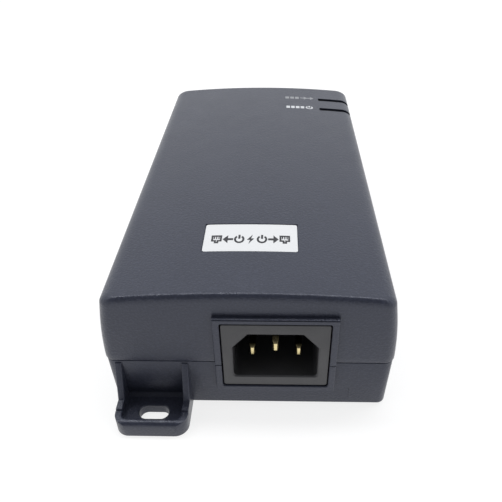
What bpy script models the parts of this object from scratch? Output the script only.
"""Power over Ethernet injector: a two-shell brick with a C14 inlet, two ports and two screw ears.

Sizes are in millimetres until make() writes the meshes in metres. +X is to the right and +Y away
from someone who faces the inlet end, +Z is up, and the origin is under the middle of the case on
the surface that it stands on.
"""
import math

import bmesh
import bpy

MM = 0.001

# ---- driving dimensions -------------------------------------------------------------------
CASE_LENGTH = 160.0
CASE_WIDTH = 88.0
CASE_HEIGHT = 45.8
PARTING_HEIGHT = 19.6
WALL = 2.2
FLOOR = 2.4
PLAN_RADIUS = 3.5
TOP_FILLET = 2.8
SIDE_FILLET = 4.2
END_FILLET = 2.2
INNER_FILLET = 1.0
BOTTOM_FILLET = 0.8
CROWN_DROP = 2.3
SIDE_BULGE = 1.9
END_BULGE = 0.4
DRAFT = 0.6
RIM_STEP = 0.3
RIM_CHAMFER = 0.4

GAP = 0.3
OVERLAP = 0.6
CLEAR = 5.0

TONGUE_HEIGHT = 1.8
TONGUE_INSET = 1.3

# Inlet and the raised pad around it
INLET_X = 8.0
INLET_RISE = 13.8
INLET_WIDTH = 31.6
INLET_HEIGHT = 25.2
INLET_GAP = 0.35
INLET_SINK = 0.3
COLLAR_MARGIN = 1.6
COLLAR_DEPTH = 2.0
CAVITY_WIDTH = 25.3
CAVITY_HEIGHT = 17.3
CAVITY_DEPTH = 17.0
CAVITY_CHAMFER_X = 4.6
CAVITY_CHAMFER_Z = 5.4
CAVITY_CORNER = 1.2
INLET_WALL = 1.7
INLET_BACK = 4.5
PAD_PROUD = 1.35
PAD_MARGIN = 2.3
PAD_EDGE = 0.25

PIN_THICK = 2.0
PIN_HEIGHT = 4.0
PIN_PITCH = 14.0
PIN_TIP = 1.1
PIN_TIP_WIDTH = 0.95
PIN_TIP_HEIGHT = 2.8
PIN_RECESS = 4.0
EARTH_RECESS = 2.2
EARTH_RISE = 3.6
PIN_DROP = 2.0
PIN_TAIL = 2.4

# Screw ears at two diagonal corners
EAR_WIDTH = 22.4
EAR_REACH = 12.5
EAR_PLATE = 3.4
EAR_THICK = 5.6
EAR_RIM = 2.1
EAR_NOSE = 1.4
EAR_SIDE = 3.1
EAR_CORNER = 4.2
EAR_COVE = 1.2
SLOT_LENGTH = 9.3
SLOT_WIDTH = 4.9
SLOT_FROM_SIDE = 11.3
SLOT_REACH = 6.0
GUSSET_REACH = 7.5
GUSSET_STEP = 0.7
GUSSET_HEEL = 3.9
GUSSET_TOP = 0.3

# Board and what holds it
BOARD_THICK = 1.6
BOARD_BOTTOM = 8.0
BOARD_MARGIN = 0.8
SHEET_MARGIN = 1.0
STANDOFF_RADIUS = 3.0
BOARD_SCREW = 2.6
BOARD_HEAD = 5.0
BOARD_HEAD_HEIGHT = 1.8
BOARD_SCREW_EDGE = 4.5
BOARD_SCREW_SPACE = 1.5
CASE_SCREW = 3.0
CASE_HEAD = 5.6
CASE_HEAD_HEIGHT = 2.0
CASE_SCREW_LENGTH = 26.0
SCREW_POINT = 1.0
HEAD_EDGE = 0.5
HEAD_ROUND = 0.75
COUNTERBORE_DEPTH = 5.0
PILOT_SPARE = 1.0
BOSS_RADIUS = 4.4
TOP_BOSS_RADIUS = 3.2
BOSS_FROM_SIDE = 8.0
BOSS_FROM_END = 8.7

# Ports on the far end
PORT_SPACING = 24.0
PORT_FROM_BOSS = 1.6
PORT_WIDTH = 16.0
PORT_HEIGHT = 13.4
PORT_DEPTH = 21.0
PORT_SHIELD = 0.5
PLUG_WIDTH = 11.8
PLUG_HEIGHT = 6.9
PLUG_DEPTH = 14.0
LATCH_WIDTH = 6.2
LATCH_HEIGHT = 1.8
CONTACTS = 8
CONTACT_PITCH = 1.02
CONTACT_WIRE = 0.45
CARRIER_DEPTH = 3.0

# Light pipes across the top edge
PIPE_WIDTH = 2.6
PIPE_FROM_END = (15.4, 26.9)
PIPE_INNER = 16.4
PIPE_LEG = 7.0
PIPE_THICK = 2.6
PIPE_SINK = 0.6
STEM_WIDTH = 2.8
LED_HEIGHT = 1.4

# Labels
LABEL_WIDTH = 29.2
LABEL_DEPTH = 14.6
LABEL_FROM_END = 28.3
LABEL_RECESS = 0.5
LABEL_THICK = 0.2
PLATE_CORNER = 1.0
PLATE_WIDTH = 52.0
PLATE_DEPTH = 70.0

# Rows of parts on the board, by the depth that each row takes
ROW_DEPTHS = {"filter": 20.0, "bulk": 20.0, "transformer": 24.0, "output": 14.0}

# Box-shaped parts on the board: width, depth and height
COMPONENT_SIZES = {
    "interference_capacitor": (8.5, 18.0, 15.0),
    "mains_fuse": (5.0, 8.5, 8.0),
    "bridge_rectifier": (4.0, 18.0, 15.0),
    "safety_capacitor": (3.5, 9.0, 10.0),
    "input_heatsink": (3.0, 19.0, 24.0),
    "switching_transistor": (4.4, 10.0, 17.0),
    "output_heatsink": (3.0, 24.0, 22.0),
    "output_rectifier": (4.4, 10.0, 17.0),
    "optocoupler": (6.4, 4.6, 3.4),
    "supply_controller": (6.0, 5.0, 1.6),
    "data_transformer_in": (12.0, 13.0, 6.0),
    "data_transformer_out": (12.0, 13.0, 6.0),
    "port_controller": (7.0, 7.0, 1.2),
}
COMPONENT_EDGE = 0.5
CHIP_EDGE = 0.2
DISC_EDGE = 1.2
FILTER_ASIDE = 20.5
FUSE_ASIDE = 31.0
HEATSINK_EDGE = 3.0
BRIDGE_X = -6.0
SAFETY_X = -14.0
CONTROL_X = -21.5
CONTROL_APART = 9.0

# Electrolytic capacitors
CAN_SIDES = 18
CAN_GROOVE = 0.5
CAN_GROOVE_HEIGHT = 2.1
CAN_SHOULDER = 0.8
BULK_X = 12.0
BULK_RADIUS = 9.5
BULK_HEIGHT = 25.0
OUTPUT_RADIUS = 4.4
OUTPUT_HEIGHT = 20.0
OUTPUT_SPACE = 1.0

# Line filter choke
CHOKE_RADIUS = 6.6
CHOKE_CORE = 1.5
CHOKE_WIRE = 1.2
CHOKE_AXIS = 3.2
CHOKE_START = math.radians(22)
CHOKE_SWEEP = math.radians(136)

# Transformer
TRANSFORMER_WIDTH = 30.0
TRANSFORMER_DEPTH = 24.0
TRANSFORMER_CORE = 13.2
TRANSFORMER_HEIGHT = 25.0
CORE_YOKE = 5.0
CORE_LIMB = 12.6
CORE_SIDE = 2.3
BOBBIN_CORNER = 3.0

# ---- derived places -----------------------------------------------------------------------
HALF_X = CASE_WIDTH / 2
HALF_Y = CASE_LENGTH / 2
FRONT = -HALF_Y
PAD_FACE = FRONT - PAD_PROUD
INLET_FACE = PAD_FACE + INLET_SINK
BOARD_TOP = BOARD_BOTTOM + BOARD_THICK
INLET_Z = BOARD_TOP + INLET_RISE
BOARD_HALF_X = HALF_X - RIM_STEP - DRAFT - WALL - BOARD_MARGIN
BOARD_HALF_Y = HALF_Y - RIM_STEP - DRAFT - WALL - BOARD_MARGIN
BOSS_X = HALF_X - BOSS_FROM_SIDE
BOSS_Y = HALF_Y - BOSS_FROM_END
PORT_LEFT = -BOSS_X + BOSS_RADIUS + PORT_FROM_BOSS + PORT_WIDTH / 2
PORT_X = (PORT_LEFT, PORT_LEFT + PORT_SPACING)
CAVITY_BACK = INLET_FACE + CAVITY_DEPTH
INLET_END = CAVITY_BACK + INLET_BACK
PORT_Z = BOARD_TOP + GAP
PORT_FACE = HALF_Y - GAP
PORT_END = PORT_FACE - PORT_DEPTH

# Colour, roughness, metallic
FINISHES = {
    "case_plastic": ((0.062, 0.065, 0.082), 0.55, 0.0),
    "inlet_plastic": ((0.060, 0.061, 0.066), 0.50, 0.0),
    "pin_brass": ((0.78, 0.66, 0.36), 0.28, 1.0),
    "port_plastic": ((0.015, 0.015, 0.017), 0.50, 0.0),
    "shield_steel": ((0.70, 0.70, 0.69), 0.30, 1.0),
    "contact_gold": ((0.83, 0.62, 0.24), 0.25, 1.0),
    "light_pipe": ((0.012, 0.013, 0.018), 0.22, 0.0),
    "led_lens": ((0.85, 0.87, 0.80), 0.30, 0.0),
    "board_laminate": ((0.030, 0.150, 0.055), 0.45, 0.0),
    "film_yellow": ((0.72, 0.52, 0.10), 0.50, 0.0),
    "ceramic_blue": ((0.08, 0.22, 0.48), 0.45, 0.0),
    "fuse_resin": ((0.10, 0.10, 0.11), 0.50, 0.0),
    "ferrite": ((0.045, 0.045, 0.047), 0.60, 0.0),
    "copper_winding": ((0.60, 0.26, 0.10), 0.35, 1.0),
    "winding_tape": ((0.75, 0.56, 0.12), 0.50, 0.0),
    "can_sleeve": ((0.035, 0.035, 0.042), 0.40, 0.0),
    "heatsink_aluminium": ((0.76, 0.76, 0.77), 0.38, 1.0),
    "chip_resin": ((0.022, 0.022, 0.024), 0.55, 0.0),
    "screw_steel": ((0.62, 0.62, 0.63), 0.32, 1.0),
    "sheet_film": ((0.66, 0.64, 0.52), 0.45, 0.0),
    "label_white": ((0.88, 0.88, 0.88), 0.35, 0.0),
    "plate_silver": ((0.60, 0.60, 0.62), 0.45, 0.0),
}


# ---- shapes: every function returns (points, faces) in millimetres ---------------------------
def arc(centre, radius, start, end, steps):
    """Points along an arc in a plane, both ends included."""
    turns = [start + (end - start) * i / steps for i in range(steps + 1)]
    return [(centre[0] + radius * math.cos(a), centre[1] + radius * math.sin(a)) for a in turns]


def rounded(low, high, radii, steps=4):
    """Rectangle with its own radius at each corner, from the lower left one anticlockwise."""
    signs = ((1, 1), (-1, 1), (-1, -1), (1, -1))
    corners = ((low[0], low[1]), (high[0], low[1]), (high[0], high[1]), (low[0], high[1]))
    points = []
    for turn, (corner, sign, radius) in enumerate(zip(corners, signs, radii)):
        if radius <= 0:
            points.append(corner)
            continue
        centre = (corner[0] + sign[0] * radius, corner[1] + sign[1] * radius)
        start = math.pi + turn * math.pi / 2
        points += arc(centre, radius, start, start + math.pi / 2, steps)
    return points


def prism(outline, axis, low, high):
    """An outline run along one axis: its points are the other two coordinates, in order."""
    place = {
        "X": lambda u, v, w: (w, u, v),
        "Y": lambda u, v, w: (u, w, v),
        "Z": lambda u, v, w: (u, v, w),
    }[axis]
    count = len(outline)
    points = [place(u, v, w) for w in (low, high) for u, v in outline]
    faces = [tuple(range(count)), tuple(range(count, 2 * count))]
    for i in range(count):
        after = (i + 1) % count
        faces.append((i, after, count + after, count + i))
    return points, faces


def block(low, high):
    """A plain box between two corners."""
    outline = [(low[0], low[1]), (high[0], low[1]), (high[0], high[1]), (low[0], high[1])]
    return prism(outline, "Z", low[2], high[2])


def turned(profile, centre, steps):
    """A turned piece on a vertical axis: (radius, height) points from its bottom to its top."""
    points = []
    for radius, height in profile:
        for i in range(steps):
            angle = 2 * math.pi * i / steps
            x = centre[0] + radius * math.cos(angle)
            points.append((x, centre[1] + radius * math.sin(angle), height))
    faces = [tuple(range(steps)), tuple(range(len(points) - steps, len(points)))]
    for level in range(len(profile) - 1):
        for i in range(steps):
            a = level * steps + i
            b = level * steps + (i + 1) % steps
            faces.append((a, b, b + steps, a + steps))
    return points, faces


def rod(centre, radius, low, high, steps=16):
    """An upright round rod."""
    return turned([(radius, low), (radius, high)], centre, steps)


def joined(*shapes):
    """Several separate shapes in one mesh, for a cutter or for a group of features."""
    points, faces = [], []
    for more_points, more_faces in shapes:
        base = len(points)
        points += more_points
        faces += [tuple(base + i for i in face) for face in more_faces]
    return points, faces


def turned_about(shape):
    """The same shape after half a turn about the vertical axis."""
    points, faces = shape
    return [(-x, -y, z) for x, y, z in points], faces


# ---- objects ------------------------------------------------------------------------------
def clear_scene():
    for item in list(bpy.data.objects):
        bpy.data.objects.remove(item, do_unlink=True)


def finish(name):
    """The Principled material of one finish, made once."""
    known = bpy.data.materials.get(name)
    if known:
        return known
    colour, roughness, metallic = FINISHES[name]
    material = bpy.data.materials.new(name)
    material.use_nodes = True
    shader = material.node_tree.nodes["Principled BSDF"]
    shader.inputs["Base Color"].default_value = (*colour, 1.0)
    shader.inputs["Roughness"].default_value = roughness
    shader.inputs["Metallic"].default_value = metallic
    material.diffuse_color = (*colour, 1.0)
    return material


def make(name, shape, finish_name, smooth=None):
    """Write a shape in metres as one object with its faces pointing out."""
    points, faces = shape
    mesh = bpy.data.meshes.new(name)
    mesh.from_pydata([(x * MM, y * MM, z * MM) for x, y, z in points], [], faces)
    work = bmesh.new()
    work.from_mesh(mesh)
    bmesh.ops.recalc_face_normals(work, faces=work.faces)
    work.to_mesh(mesh)
    work.free()
    mesh.materials.append(finish(finish_name))
    if smooth:
        mesh.shade_smooth()
        mesh.set_sharp_from_angle(angle=math.radians(smooth))
    item = bpy.data.objects.new(name, mesh)
    bpy.context.scene.collection.objects.link(item)
    return item


def combine(target, shape, operation, part="features"):
    """Join a group of features to an object, or cut it with them, and return the tool."""
    tool = make(f"{target.name}_{operation.lower()}_{part}", shape, "case_plastic")
    tool.hide_render = True
    tool.display_type = "WIRE"
    modifier = target.modifiers.new(f"{operation.title()} {part}", "BOOLEAN")
    modifier.operation = operation
    modifier.solver = "EXACT"
    modifier.use_self = True
    modifier.object = tool
    return tool


# ---- the case surface -----------------------------------------------------------------------
CORNER_STEPS = 4
COLUMNS = 12


def crown(x):
    """How far the crowned top has fallen at a distance from the centre line."""
    return CROWN_DROP * (x / HALF_X) ** 2


def bulge(z):
    """Share of the barrel curve of the upper walls at a height, 0 at the parting line."""
    return ((z - PARTING_HEIGHT) / (CASE_HEIGHT - TOP_FILLET - CROWN_DROP - PARTING_HEIGHT)) ** 2


def ring(inset_x, inset_y, z, crowned):
    """One closed outline of the case: front chain left to right, then the far chain back again."""
    half_x, half_y = HALF_X - inset_x, HALF_Y - inset_y
    radius = max(PLAN_RADIUS - min(inset_x, inset_y), OVERLAP)
    left = arc((-half_x + radius, -half_y + radius), radius, math.pi, 1.5 * math.pi, CORNER_STEPS)
    span = 2 * (half_x - radius)
    middle = [(-span / 2 + span * i / (COLUMNS + 1), -half_y) for i in range(1, COLUMNS + 1)]
    right = [(-x, y) for x, y in reversed(left)]
    front = left + middle + right
    chain = front + [(x, -y) for x, y in reversed(front)]
    return [(x, y, z - crown(x) if crowned else z) for x, y in chain]


def cap_faces(first, count):
    """Strips that close the ring starting at a point number: each joins front to far chain."""
    half = count // 2
    return [
        (first + i, first + i + 1, first + count - 2 - i, first + count - 1 - i)
        for i in range(half - 1)
    ]


def hollow(outer, inner):
    """A thin shell open at one end: rings from its rim to its closed end, outside and inside."""
    count = len(outer[0])
    rings = list(reversed(outer)) + inner
    points = [point for outline in rings for point in outline]
    faces = cap_faces(0, count) + cap_faces((len(rings) - 1) * count, count)
    for level in range(len(rings) - 1):
        for i in range(count):
            a = level * count + i
            b = level * count + (i + 1) % count
            faces.append((a, b, b + count, a + count))
    return points, faces


def fillet_rings(insets, radii, top, steps):
    """Rings that round the crowned top edge, going up: radii are along x, along y and up."""
    rings = []
    for i in range(steps + 1):
        angle = math.pi / 2 * i / steps
        inward = 1 - math.cos(angle)
        height = top - radii[2] * (1 - math.sin(angle))
        rings.append(ring(insets[0] + radii[0] * inward, insets[1] + radii[1] * inward, height, True))
    return rings


def upper_walls(extra, levels):
    """Rings of the barrel-shaped upper walls, moved inward by an extra inset."""
    return [
        ring(SIDE_BULGE * bulge(z) + extra, END_BULGE * bulge(z) + extra, z, False) for z in levels
    ]


def outer_arch(from_x, down_to):
    """A light pipe's outer face, sunk under the crown, the fillet and the side wall, going down."""
    flat = HALF_X - SIDE_BULGE - SIDE_FILLET
    points = [(from_x, CASE_HEIGHT - crown(from_x)), (flat, CASE_HEIGHT - crown(flat))]
    for i in range(1, CORNER_STEPS + 1):
        angle = math.pi / 2 * i / CORNER_STEPS
        x = flat + SIDE_FILLET * math.sin(angle)
        points.append((x, CASE_HEIGHT - TOP_FILLET * (1 - math.cos(angle)) - crown(x)))
    points.append((HALF_X - SIDE_BULGE * bulge(down_to), down_to))
    return [(x - PIPE_SINK if x > flat else x, z - PIPE_SINK) for x, z in points[:-1]] + [
        (points[-1][0] - PIPE_SINK, down_to)]


# ---- case shells --------------------------------------------------------------------------------
def pad_half(low, high, back):
    """The upper or lower half of the raised pad, with its front edges rounded a little."""
    left = INLET_X - INLET_WIDTH / 2 - PAD_MARGIN
    right = INLET_X + INLET_WIDTH / 2 + PAD_MARGIN
    outline = [
        (left, back),
        (left, PAD_FACE + PAD_EDGE),
        (left + PAD_EDGE, PAD_FACE),
        (right - PAD_EDGE, PAD_FACE),
        (right, PAD_FACE + PAD_EDGE),
        (right, back),
    ]
    return prism(outline, "Z", low, high)


def inlet_opening(margin, low_y, high_y):
    """A box the size of the inlet flange and a margin, to cut the end wall with."""
    half_x, half_z = INLET_WIDTH / 2 + margin, INLET_HEIGHT / 2 + margin
    return block((INLET_X - half_x, low_y, INLET_Z - half_z), (INLET_X + half_x, high_y, INLET_Z + half_z))


def port_openings():
    """Boxes that open the far wall for the two ports."""
    shapes = []
    for x in PORT_X:
        low = (x - PORT_WIDTH / 2 - GAP, HALF_Y - 2 * WALL, PORT_Z - GAP)
        high = (x + PORT_WIDTH / 2 + GAP, HALF_Y + CLEAR, PORT_Z + PORT_HEIGHT + GAP)
        shapes.append(block(low, high))
    return shapes


def corners(x, y):
    """The four places at plus and minus x and y."""
    return [(sx * x, sy * y) for sy in (-1, 1) for sx in (-1, 1)]


def label_profile(low, high, margin):
    """Cross-section of a strip that follows the crown between two offsets from the surface."""
    half = LABEL_WIDTH / 2 + margin
    steps = [half - 2 * half * i / COLUMNS for i in range(COLUMNS + 1)]
    upper = [(x, CASE_HEIGHT - crown(x) + high) for x in steps]
    lower = [(x, CASE_HEIGHT - crown(x) + low) for x in reversed(steps)]
    return upper + lower


def make_top_shell():
    rim = PARTING_HEIGHT + GAP / 2
    shoulder = CASE_HEIGHT - TOP_FILLET - CROWN_DROP
    levels = [rim + RIM_CHAMFER + (shoulder - rim - RIM_CHAMFER) * i / 4 for i in range(4)]
    outer = [ring(RIM_CHAMFER, RIM_CHAMFER, rim, False)] + upper_walls(0, levels)
    radii = (SIDE_FILLET, END_FILLET, TOP_FILLET)
    outer += fillet_rings((SIDE_BULGE, END_BULGE), radii, CASE_HEIGHT, CORNER_STEPS)
    rebate = TONGUE_INSET - GAP
    step = PARTING_HEIGHT + TONGUE_HEIGHT + GAP
    inner = [ring(rebate, rebate, z, False) for z in (rim, step)]
    inner += upper_walls(WALL, (step, (step + shoulder) / 2))
    insets = (SIDE_BULGE + WALL, END_BULGE + WALL)
    inner_radii = (INNER_FILLET + SIDE_FILLET - END_FILLET, INNER_FILLET, INNER_FILLET)
    inner += fillet_rings(insets, inner_radii, CASE_HEIGHT - WALL, CORNER_STEPS // 2)
    shell = make("top_shell", hollow(outer, inner), "case_plastic", smooth=35)

    features = [pad_half(rim, INLET_Z + INLET_HEIGHT / 2 + PAD_MARGIN, FRONT + rebate / 2)]
    boss_top = CASE_HEIGHT - crown(BOSS_X) - WALL / 2
    features += [rod(at, TOP_BOSS_RADIUS, rim, boss_top) for at in corners(BOSS_X, BOSS_Y)]
    combine(shell, joined(*features), "UNION")

    cuts = [inlet_opening(INLET_GAP, PAD_FACE - CLEAR, FRONT + 2 * WALL)] + port_openings()
    pilot = CASE_SCREW / 2
    pilot_end = COUNTERBORE_DEPTH + CASE_SCREW_LENGTH + PILOT_SPARE
    cuts += [rod(at, pilot, rim - CLEAR, pilot_end, 12) for at in corners(BOSS_X, BOSS_Y)]
    low = HALF_Y - PIPE_WIDTH / 2 - GAP
    for reach in PIPE_FROM_END:
        inner_x = HALF_X - PIPE_INNER - GAP
        start = (inner_x, low - reach, CASE_HEIGHT - CROWN_DROP - PIPE_LEG - GAP)
        end = (HALF_X + CLEAR, low - reach + PIPE_WIDTH + 2 * GAP, CASE_HEIGHT + CLEAR)
        cuts.append(block(start, end))
    label_y = FRONT + LABEL_FROM_END
    recess = label_profile(-LABEL_RECESS, CLEAR, GAP)
    reach = LABEL_DEPTH / 2 + GAP
    cuts.append(prism(recess, "Y", label_y - reach, label_y + reach))
    combine(shell, joined(*cuts), "DIFFERENCE")


def ear_block():
    """The ear before its tray is sunk: side profile with a rounded nose, run across its width."""
    tip = FRONT - EAR_REACH
    root = FRONT + WALL + OVERLAP
    side = -HALF_X + EAR_SIDE
    nose = arc((tip + EAR_NOSE, EAR_THICK - EAR_NOSE), EAR_NOSE, math.pi, math.pi / 2, CORNER_STEPS)
    outline = [(root, 0), (tip, 0)] + nose + [(root, EAR_THICK)]
    return prism(outline, "X", side, side + EAR_WIDTH)


def ear_tray():
    """What is taken out of the ear between its two side rims and its front rim."""
    left = -HALF_X + EAR_SIDE + EAR_RIM
    right = left + EAR_WIDTH - 2 * EAR_RIM
    front = FRONT - EAR_REACH + EAR_RIM
    inner = EAR_CORNER - EAR_RIM
    outline = rounded((left, front), (right, FRONT + WALL + CLEAR), (inner, inner, 0, 0))
    return prism(outline, "Z", EAR_PLATE, EAR_THICK + CLEAR)


def ear_cove():
    """The slope that takes the ear's plate up into the case wall."""
    wall = FRONT + RIM_STEP + DRAFT
    low, high = EAR_PLATE / 2, EAR_PLATE + EAR_COVE
    outline = [(wall + WALL / 2, low), (wall - EAR_COVE, low), (wall - EAR_COVE, EAR_PLATE),
               (wall, high), (wall + WALL / 2, high)]
    left = -HALF_X + EAR_SIDE + EAR_RIM / 2
    return prism(outline, "X", left, left + EAR_WIDTH - EAR_RIM)


def ear_corner_cuts():
    """Pieces outside the round front corners of the ear, seen from above."""
    tip = FRONT - EAR_REACH
    side = -HALF_X + EAR_SIDE
    shapes = []
    for edge, sign in ((side, 1), (side + EAR_WIDTH, -1)):
        centre = (edge + sign * EAR_CORNER, tip + EAR_CORNER)
        start = math.pi if sign > 0 else 0.0
        bend = arc(centre, EAR_CORNER, start, 1.5 * math.pi if sign > 0 else -math.pi / 2, 6)
        far_x = edge - sign * CLEAR
        outside = [(centre[0], tip - CLEAR), (far_x, tip - CLEAR), (far_x, centre[1])]
        shapes.append(prism(bend + outside, "Z", -CLEAR, EAR_THICK + CLEAR))
    return shapes


def ear_slot():
    """The slotted screw hole: a straight run with round ends."""
    x, y = -HALF_X + EAR_SIDE + SLOT_FROM_SIDE, FRONT - SLOT_REACH
    radius = SLOT_WIDTH / 2
    outline = rounded((x - SLOT_LENGTH / 2, y - radius), (x + SLOT_LENGTH / 2, y + radius), [radius] * 4)
    straight = [point for i, point in enumerate(outline) if point != outline[i - 1]]
    return prism(straight, "Z", -CLEAR, EAR_THICK + CLEAR)


def gussets():
    """Two ribs that rise from the ear's side rims to the rim of the bottom shell."""
    top = PARTING_HEIGHT - GAP - RIM_STEP
    root = FRONT + WALL
    face = FRONT + RIM_STEP
    step = EAR_THICK + GUSSET_STEP
    outline = [
        (root, EAR_PLATE),
        (FRONT - GUSSET_REACH, EAR_PLATE),
        (FRONT - GUSSET_REACH, step),
        (FRONT - GUSSET_HEEL, step),
        (face - GUSSET_TOP, top),
        (root, top),
    ]
    side = -HALF_X + EAR_SIDE
    return [prism(outline, "X", x, x + EAR_RIM) for x in (side, side + EAR_WIDTH - EAR_RIM)]


def make_bottom_shell():
    rim = PARTING_HEIGHT - GAP / 2
    lip = PARTING_HEIGHT + TONGUE_HEIGHT
    foot = RIM_STEP + DRAFT
    outer = [ring(TONGUE_INSET, TONGUE_INSET, z, False) for z in (lip, rim)]
    outer += [ring(RIM_STEP, RIM_STEP, rim, False)]
    for i in range(CORNER_STEPS + 1):
        angle = math.pi / 2 * i / CORNER_STEPS
        inward = foot + BOTTOM_FILLET * (1 - math.cos(angle))
        outer.append(ring(inward, inward, BOTTOM_FILLET * (1 - math.sin(angle)), False))
    inner = [ring(RIM_STEP + WALL, RIM_STEP + WALL, lip, False), ring(foot + WALL, foot + WALL, FLOOR, False)]
    shell = make("bottom_shell", hollow(outer, inner), "case_plastic", smooth=35)

    low_pad = pad_half(BOTTOM_FILLET, rim, FRONT + foot + WALL / 2)
    ears = [ear_cove()] + gussets()
    features = [low_pad] + ears + [turned_about(shape) for shape in ears]
    features += [rod(at, BOSS_RADIUS, FLOOR / 2, rim) for at in corners(BOSS_X, BOSS_Y)]
    standoff_top = BOARD_BOTTOM - GAP
    features += [rod(at, STANDOFF_RADIUS, FLOOR / 2, standoff_top, 12) for at in board_screw_places()]
    for part, block_shape, tray in (
        ("front_ear", ear_block(), ear_tray()),
        ("rear_ear", turned_about(ear_block()), turned_about(ear_tray())),
    ):
        ear = combine(shell, block_shape, "UNION", part)
        combine(ear, tray, "DIFFERENCE")
    combine(shell, joined(*features), "UNION")

    cuts = [inlet_opening(INLET_GAP, PAD_FACE - CLEAR, FRONT + 2 * WALL)] + port_openings()
    ear_cuts = ear_corner_cuts() + [ear_slot()]
    cuts += ear_cuts + [turned_about(shape) for shape in ear_cuts] + [pad_foot_cut()]
    for at in corners(BOSS_X, BOSS_Y):
        head = CASE_HEAD / 2 + GAP
        shank = CASE_SCREW / 2 + GAP
        bore = [(head, -CLEAR), (head, COUNTERBORE_DEPTH), (shank, COUNTERBORE_DEPTH), (shank, rim + CLEAR)]
        cuts.append(turned(bore, at, 16))
    pilot = BOARD_SCREW / 2
    cuts += [rod(at, pilot, FLOOR, BOARD_BOTTOM, 10) for at in board_screw_places()]
    half_x, half_y = PLATE_WIDTH / 2 + GAP, PLATE_DEPTH / 2 + GAP
    cuts.append(block((-half_x, -half_y, -CLEAR), (half_x, half_y, LABEL_RECESS)))
    combine(shell, joined(*cuts), "DIFFERENCE")


def pad_foot_cut():
    """The slope that takes the pad's lower edge back into the wall."""
    low = BOTTOM_FILLET - OVERLAP
    wall = FRONT + RIM_STEP + DRAFT
    high = INLET_Z - INLET_HEIGHT / 2 - PAD_MARGIN
    outline = [(wall, low), (PAD_FACE, high), (PAD_FACE - CLEAR, high), (PAD_FACE - CLEAR, low)]
    half = INLET_WIDTH / 2 + PAD_MARGIN + CLEAR
    left = max(INLET_X - half, -HALF_X + EAR_SIDE + EAR_WIDTH + GAP)
    return prism(outline, "X", left, INLET_X + half)


# ---- inlet ----------------------------------------------------------------------------------------
def cavity_outline():
    """The inlet's mouth: two chamfered upper corners and two small round lower ones."""
    left, right = INLET_X - CAVITY_WIDTH / 2, INLET_X + CAVITY_WIDTH / 2
    low, high = INLET_Z - CAVITY_HEIGHT / 2, INLET_Z + CAVITY_HEIGHT / 2
    outline = rounded((left, low), (right, high), (CAVITY_CORNER, CAVITY_CORNER, 0, 0), 3)[:-2]
    outline += [(right, high - CAVITY_CHAMFER_Z), (right - CAVITY_CHAMFER_X, high)]
    return outline + [(left + CAVITY_CHAMFER_X, high), (left, high - CAVITY_CHAMFER_Z)]


def pin_places():
    """Name, x, z, distance of the tip behind the mouth, and place of the tail of each pin."""
    z = INLET_Z - PIN_DROP
    tail = INLET_END + GAP
    return [
        ("inlet_live_pin", INLET_X - PIN_PITCH / 2, z, PIN_RECESS, tail),
        ("inlet_neutral_pin", INLET_X + PIN_PITCH / 2, z, PIN_RECESS, tail),
        ("inlet_earth_pin", INLET_X, z + EARTH_RISE, EARTH_RECESS, tail),
    ]


def make_inlet():
    body_x, body_z = CAVITY_WIDTH / 2 + INLET_WALL, CAVITY_HEIGHT / 2 + INLET_WALL
    collar_low = FRONT + RIM_STEP + DRAFT + WALL + GAP
    flange = inlet_opening(0, INLET_FACE, collar_low + COLLAR_DEPTH / 2)
    body = make("inlet_body", flange, "inlet_plastic")
    collar_x, collar_z = INLET_WIDTH / 2 + COLLAR_MARGIN, INLET_HEIGHT / 2 + COLLAR_MARGIN
    collar = block((INLET_X - collar_x, collar_low, BOARD_TOP + GAP),
                   (INLET_X + collar_x, collar_low + COLLAR_DEPTH, INLET_Z + collar_z))
    rear = block((INLET_X - body_x, collar_low + COLLAR_DEPTH / 2, INLET_Z - body_z),
                 (INLET_X + body_x, INLET_END, INLET_Z + body_z))
    combine(body, collar, "UNION")
    combine(body, rear, "UNION", "rear")
    slots = [
        block((x - PIN_THICK / 2 - GAP, CAVITY_BACK - CLEAR, z - PIN_HEIGHT / 2 - GAP),
              (x + PIN_THICK / 2 + GAP, INLET_END + CLEAR, z + PIN_HEIGHT / 2 + GAP))
        for _, x, z, _, _ in pin_places()
    ]
    combine(body, prism(cavity_outline(), "Y", INLET_FACE - CLEAR, CAVITY_BACK), "DIFFERENCE")
    combine(body, joined(*slots), "DIFFERENCE", "slots")

    for name, x, z, recess, tail in pin_places():
        tip = INLET_FACE + recess
        top, low = z + PIN_HEIGHT / 2, z - PIN_HEIGHT / 2
        outline = [
            (tip, z - PIN_TIP_HEIGHT / 2), (tip, z + PIN_TIP_HEIGHT / 2), (tip + PIN_TIP, top),
            (tail + PIN_TAIL, top), (tail + PIN_TAIL, BOARD_BOTTOM - GAP), (tail, BOARD_BOTTOM - GAP),
            (tail, low), (tip + PIN_TIP, low),
        ]
        points, faces = prism(outline, "X", x - PIN_THICK / 2, x + PIN_THICK / 2)
        narrow = PIN_TIP_WIDTH / PIN_THICK
        taper = [(x + (px - x) * narrow if py == tip else px, py, pz) for px, py, pz in points]
        make(name, (taper, faces), "pin_brass")


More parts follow.
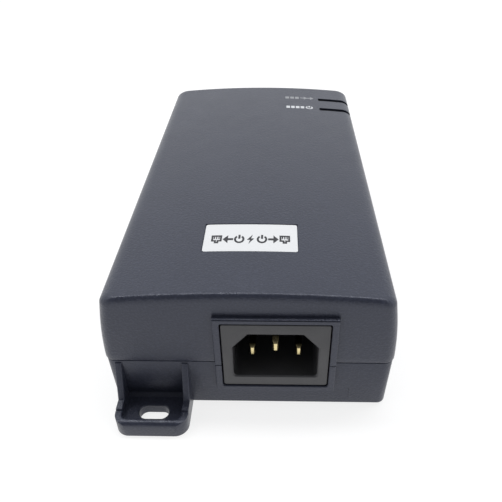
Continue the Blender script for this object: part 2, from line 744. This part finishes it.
# ---- ports ----------------------------------------------------------------------------------------
def make_port(name, x):
    half = PORT_WIDTH / 2
    outside = block((x - half, PORT_END, PORT_Z), (x + half, PORT_FACE, PORT_Z + PORT_HEIGHT))
    shield = make(f"{name}_shield", outside, "shield_steel")
    inner = half - PORT_SHIELD
    room = block((x - inner, PORT_END - CLEAR, PORT_Z - CLEAR),
                 (x + inner, PORT_FACE + CLEAR, PORT_Z + PORT_HEIGHT - PORT_SHIELD))
    combine(shield, room, "DIFFERENCE")

    body_half = inner - GAP
    low, high = PORT_Z, PORT_Z + PORT_HEIGHT - PORT_SHIELD - GAP
    body = make(f"{name}_body", block((x - body_half, PORT_END, low), (x + body_half, PORT_FACE, high)),
                "port_plastic")
    mouth_low = (low + high - PLUG_HEIGHT - LATCH_HEIGHT) / 2 + LATCH_HEIGHT
    mouth_high = mouth_low + PLUG_HEIGHT
    plug, latch = PLUG_WIDTH / 2, LATCH_WIDTH / 2
    mouth = [
        (x - plug, mouth_high), (x - plug, mouth_low), (x - latch, mouth_low),
        (x - latch, mouth_low - LATCH_HEIGHT), (x + latch, mouth_low - LATCH_HEIGHT),
        (x + latch, mouth_low), (x + plug, mouth_low), (x + plug, mouth_high),
    ]
    back = PORT_FACE - PLUG_DEPTH
    combine(body, prism(mouth, "Y", back, PORT_FACE + CLEAR), "DIFFERENCE")
    pocket_half = CONTACTS * CONTACT_PITCH / 2 + GAP
    pocket_low = mouth_high - PLUG_HEIGHT / 2
    pocket = block((x - pocket_half - GAP, back - CARRIER_DEPTH - GAP, pocket_low),
                   (x + pocket_half + GAP, back + CLEAR, mouth_high))
    combine(body, pocket, "DIFFERENCE", "pocket")

    carrier = block((x - pocket_half, back - CARRIER_DEPTH, pocket_low + GAP),
                    (x + pocket_half, back, mouth_high - GAP))
    contacts = make(f"{name}_contacts", carrier, "contact_gold")
    wire = CONTACT_WIRE
    root_z = mouth_high - 2 * GAP - wire
    reach = PLUG_DEPTH * 2 / 3
    sag = PLUG_HEIGHT / 3
    path = [
        (back - CARRIER_DEPTH / 2, root_z), (back + reach, root_z), (back + reach / 4, root_z - sag),
        (back + reach / 4, root_z - sag - wire), (back + reach + wire, root_z - wire / 2),
        (back + reach + wire, root_z + wire / 2), (back - CARRIER_DEPTH / 2, root_z + wire / 2),
    ]
    wires = []
    for i in range(CONTACTS):
        wire_x = x + (i - (CONTACTS - 1) / 2) * CONTACT_PITCH
        wires.append(prism(path, "X", wire_x - wire / 2, wire_x + wire / 2))
    combine(contacts, joined(*wires), "UNION")


# ---- light pipes ------------------------------------------------------------------------------------
def make_light_pipes():
    inner_x = HALF_X - PIPE_INNER
    foot = CASE_HEIGHT - CROWN_DROP - PIPE_LEG
    stem_low = BOARD_TOP + 2 * GAP + LED_HEIGHT
    for name, reach in zip(("power", "link"), PIPE_FROM_END):
        y = HALF_Y - reach
        outside = outer_arch(inner_x, foot)
        roof = CASE_HEIGHT - CROWN_DROP - PIPE_THICK
        side = HALF_X - SIDE_BULGE - PIPE_THICK
        inside = [(side, foot), (side, roof), (inner_x + STEM_WIDTH, roof), (inner_x + STEM_WIDTH, stem_low),
                  (inner_x, stem_low)]
        outline = outside + inside
        make(f"{name}_light_pipe", prism(outline, "Y", y - PIPE_WIDTH / 2, y + PIPE_WIDTH / 2), "light_pipe",
             smooth=35)
        low = (inner_x, y - PIPE_WIDTH / 2, BOARD_TOP + GAP)
        high = (inner_x + STEM_WIDTH, y + PIPE_WIDTH / 2, BOARD_TOP + GAP + LED_HEIGHT)
        make(f"{name}_led", block(low, high), "led_lens")


# ---- board and its parts ------------------------------------------------------------------------------
def board_screw_places():
    """Near the board's corners, just inside the notches that clear the case bosses."""
    reach = BOSS_Y - BOSS_RADIUS - STANDOFF_RADIUS - BOARD_SCREW_SPACE
    return corners(BOARD_HALF_X - BOARD_SCREW_EDGE, reach)


def make_board():
    notch_x = BOSS_X - BOSS_RADIUS - GAP
    notch_y = BOSS_Y - BOSS_RADIUS - GAP
    quarter = [(BOARD_HALF_X, notch_y), (notch_x, notch_y), (notch_x, BOARD_HALF_Y)]
    outline = quarter + [(-x, y) for x, y in reversed(quarter)]
    outline += [(-x, -y) for x, y in outline]
    board = make("main_board", prism(outline, "Z", BOARD_BOTTOM, BOARD_TOP), "board_laminate")
    hole = BOARD_SCREW / 2 + GAP
    cuts = [rod(at, hole, BOARD_BOTTOM - CLEAR, BOARD_TOP + CLEAR, 12) for at in board_screw_places()]
    for _, x, _, _, tail in pin_places():
        cuts.append(block((x - PIN_THICK / 2 - GAP, tail - GAP, BOARD_BOTTOM - CLEAR),
                          (x + PIN_THICK / 2 + GAP, tail + PIN_TAIL + GAP, BOARD_TOP + CLEAR)))
    combine(board, joined(*cuts), "DIFFERENCE")

    sheet_x = BOARD_HALF_X - BOARD_SCREW_EDGE - STANDOFF_RADIUS - SHEET_MARGIN
    sheet_y = BOSS_Y - BOSS_RADIUS - SHEET_MARGIN
    make("insulating_sheet", block((-sheet_x, -sheet_y, FLOOR + GAP), (sheet_x, sheet_y, FLOOR + 2 * GAP)),
         "sheet_film")


def make_screws():
    for number, at in enumerate(corners(BOSS_X, BOSS_Y), start=1):
        seat = COUNTERBORE_DEPTH - GAP
        head, shank = CASE_HEAD / 2, CASE_SCREW / 2 - GAP
        low = seat - CASE_HEAD_HEIGHT
        point = seat + CASE_SCREW_LENGTH
        profile = [(head * HEAD_ROUND, low), (head, low + HEAD_EDGE), (head, seat), (shank, seat),
                   (shank, point - SCREW_POINT), (shank / 3, point)]
        make(f"case_screw_{number}", turned(profile, at, 16), "screw_steel", smooth=35)
    for number, at in enumerate(board_screw_places(), start=1):
        seat = BOARD_TOP + GAP
        head, shank = BOARD_HEAD / 2, BOARD_SCREW / 2 - GAP
        point = FLOOR + GAP
        profile = [(shank / 3, point), (shank, point + SCREW_POINT), (shank, seat), (head, seat),
                   (head, seat + BOARD_HEAD_HEIGHT / 2), (head * HEAD_ROUND, seat + BOARD_HEAD_HEIGHT)]
        make(f"board_screw_{number}", turned(profile, at, 14), "screw_steel", smooth=35)


def can(name, at, radius, height):
    """An electrolytic capacitor: rolled edge at the foot, rounded shoulder at the top."""
    low = BOARD_TOP + GAP
    groove = low + CAN_GROOVE_HEIGHT
    waist = radius - CAN_GROOVE
    profile = [(waist, low), (radius, low + CAN_GROOVE), (radius, groove - CAN_GROOVE), (waist, groove),
               (radius, groove + CAN_GROOVE), (radius, low + height - CAN_SHOULDER),
               (radius - CAN_SHOULDER, low + height)]
    make(name, turned(profile, at, CAN_SIDES), "can_sleeve", smooth=35)


def component(name, x, y, finish_name, edge=COMPONENT_EDGE):
    """A box-shaped part on the board with chamfered upright edges, of the size listed for it."""
    width, depth, height = COMPONENT_SIZES[name]
    low = (x - width / 2, y - depth / 2)
    high = (x + width / 2, y + depth / 2)
    outline = rounded(low, high, [edge] * 4, 1)
    make(name, prism(outline, "Z", BOARD_TOP + GAP, BOARD_TOP + GAP + height), finish_name)


def tube_arc(centre, major, minor, hole, start, end):
    """Part of a hollow ring lying flat: a winding that sleeves a round core."""
    along, around = 8, 8
    sections = []
    for i in range(along + 1):
        angle = start + (end - start) * i / along
        for radius in (minor, hole):
            section = arc((major, centre[2]), radius, math.pi / 8, 2 * math.pi + math.pi / 8, around)[:-1]
            sections += [(centre[0] + r * math.cos(angle), centre[1] + r * math.sin(angle), z)
                         for r, z in section]
    faces = []
    stride = 2 * around
    for j in range(around):
        after = (j + 1) % around
        for i in range(along):
            for side in (0, around):
                a, b = i * stride + side + j, i * stride + side + after
                faces.append((a, b, b + stride, a + stride))
        for end_base in (0, along * stride):
            faces.append((end_base + j, end_base + after, end_base + around + after, end_base + around + j))
    return sections, faces


def torus(centre, major, minor):
    """A whole ring lying flat."""
    along, around = 20, 8
    points = []
    for i in range(along):
        angle = 2 * math.pi * i / along
        section = arc((major, centre[2]), minor, math.pi / 8, 2 * math.pi + math.pi / 8, around)[:-1]
        points += [(centre[0] + r * math.cos(angle), centre[1] + r * math.sin(angle), z) for r, z in section]
    faces = []
    for i in range(along):
        for j in range(around):
            a, b = i * around + j, i * around + (j + 1) % around
            c, d = (i + 1) % along * around + j, (i + 1) % along * around + (j + 1) % around
            faces.append((a, b, d, c))
    return points, faces


def row_centres():
    """Share the board's free length between the rows, so that they keep even spaces."""
    start = INLET_END + 3 * GAP + PIN_TAIL
    end = PORT_END
    space = (end - start - sum(ROW_DEPTHS.values())) / (len(ROW_DEPTHS) + 1)
    centres = {}
    at = start
    for name, depth in ROW_DEPTHS.items():
        centres[name] = at + space + depth / 2
        at += space + depth
    return centres


def make_filter_row(y):
    centre = (INLET_X, y, BOARD_TOP + GAP + CHOKE_AXIS)
    make("choke_core", torus(centre, CHOKE_RADIUS, CHOKE_CORE), "ferrite", smooth=60)
    hole = CHOKE_CORE + GAP
    for number, start in enumerate((CHOKE_START, CHOKE_START + math.pi), start=1):
        sleeve = tube_arc(centre, CHOKE_RADIUS, hole + CHOKE_WIRE, hole, start, start + CHOKE_SWEEP)
        make(f"choke_winding_{number}", sleeve, "copper_winding", smooth=60)
    component("interference_capacitor", INLET_X - FILTER_ASIDE, y, "film_yellow")
    component("mains_fuse", INLET_X - FUSE_ASIDE, y, "fuse_resin")


def beside_heatsink(heatsink, transistor, y, side, finish_name):
    """A heatsink near one long edge of the board, and the part clamped to its inner face."""
    sink_x = side * (BOARD_HALF_X - HEATSINK_EDGE)
    component(heatsink, sink_x, y, "heatsink_aluminium")
    apart = (COMPONENT_SIZES[heatsink][0] + COMPONENT_SIZES[transistor][0]) / 2 + GAP
    component(transistor, sink_x - side * apart, y, finish_name)


def make_bulk_row(y):
    can("bulk_capacitor", (BULK_X, y), BULK_RADIUS, BULK_HEIGHT)
    component("bridge_rectifier", BRIDGE_X, y, "chip_resin")
    component("safety_capacitor", SAFETY_X, y, "ceramic_blue", DISC_EDGE)
    beside_heatsink("input_heatsink", "switching_transistor", y, -1, "chip_resin")


def make_transformer_row(y):
    """A wound bobbin on the core's middle limb: the core is two E halves glued into one."""
    half_x, half_y = TRANSFORMER_WIDTH / 2, TRANSFORMER_DEPTH / 2
    core_y = TRANSFORMER_CORE / 2
    low, top = BOARD_TOP + GAP, BOARD_TOP + GAP + TRANSFORMER_HEIGHT
    core = make("transformer_core", block((-half_x, y - core_y, low), (half_x, y + core_y, top)), "ferrite")
    window_low, window_top = low + CORE_YOKE, top - CORE_YOKE
    window_inner, window_outer = CORE_LIMB / 2, half_x - CORE_SIDE
    windows = [
        block((min(side * window_inner, side * window_outer), y - half_y - CLEAR, window_low),
              (max(side * window_inner, side * window_outer), y + half_y + CLEAR, window_top))
        for side in (-1, 1)
    ]
    combine(core, joined(*windows), "DIFFERENCE")
    reach = window_outer - GAP
    outline = rounded((-reach, y - half_y), (reach, y + half_y), [BOBBIN_CORNER] * 4, 3)
    wound = prism(outline, "Z", window_low + GAP, window_top - GAP)
    winding = make("transformer_winding", wound, "winding_tape", smooth=35)
    middle = window_inner + GAP
    hole = block((-middle, y - core_y - GAP, low), (middle, y + core_y + GAP, top))
    combine(winding, hole, "DIFFERENCE")
    beside_heatsink("output_heatsink", "output_rectifier", y, 1, "chip_resin")
    component("optocoupler", CONTROL_X, y + CONTROL_APART / 2, "chip_resin")
    component("supply_controller", CONTROL_X, y - CONTROL_APART / 2, "chip_resin", CHIP_EDGE)


def make_output_row(y):
    for name, x in zip(("data_transformer_in", "data_transformer_out"), PORT_X):
        component(name, x, y, "chip_resin")
    aside = COMPONENT_SIZES["data_transformer_in"][0] / 2 + OUTPUT_SPACE + OUTPUT_RADIUS
    for number, x in enumerate((PORT_X[0] - aside, PORT_X[1] + aside), start=1):
        can(f"output_capacitor_{number}", (x, y), OUTPUT_RADIUS, OUTPUT_HEIGHT)
    component("port_controller", sum(PORT_X) / 2, y, "chip_resin", CHIP_EDGE)


# ---- labels -------------------------------------------------------------------------------------------
def make_labels():
    y = FRONT + LABEL_FROM_END
    strip = label_profile(-LABEL_THICK, 0.0, 0.0)
    make("top_label", prism(strip, "Y", y - LABEL_DEPTH / 2, y + LABEL_DEPTH / 2), "label_white")
    half_x, half_y = PLATE_WIDTH / 2, PLATE_DEPTH / 2
    outline = rounded((-half_x, -half_y), (half_x, half_y), [PLATE_CORNER] * 4, 2)
    low = LABEL_RECESS - GAP - LABEL_THICK / 2
    make("rating_plate", prism(outline, "Z", low, low + LABEL_THICK / 2), "plate_silver")


def main():
    clear_scene()
    make_top_shell()
    make_bottom_shell()
    make_inlet()
    for name, x in zip(("data_port", "power_port"), PORT_X):
        make_port(name, x)
    make_light_pipes()
    make_board()
    make_screws()
    rows = row_centres()
    make_filter_row(rows["filter"])
    make_bulk_row(rows["bulk"])
    make_transformer_row(rows["transformer"])
    make_output_row(rows["output"])
    make_labels()


main()
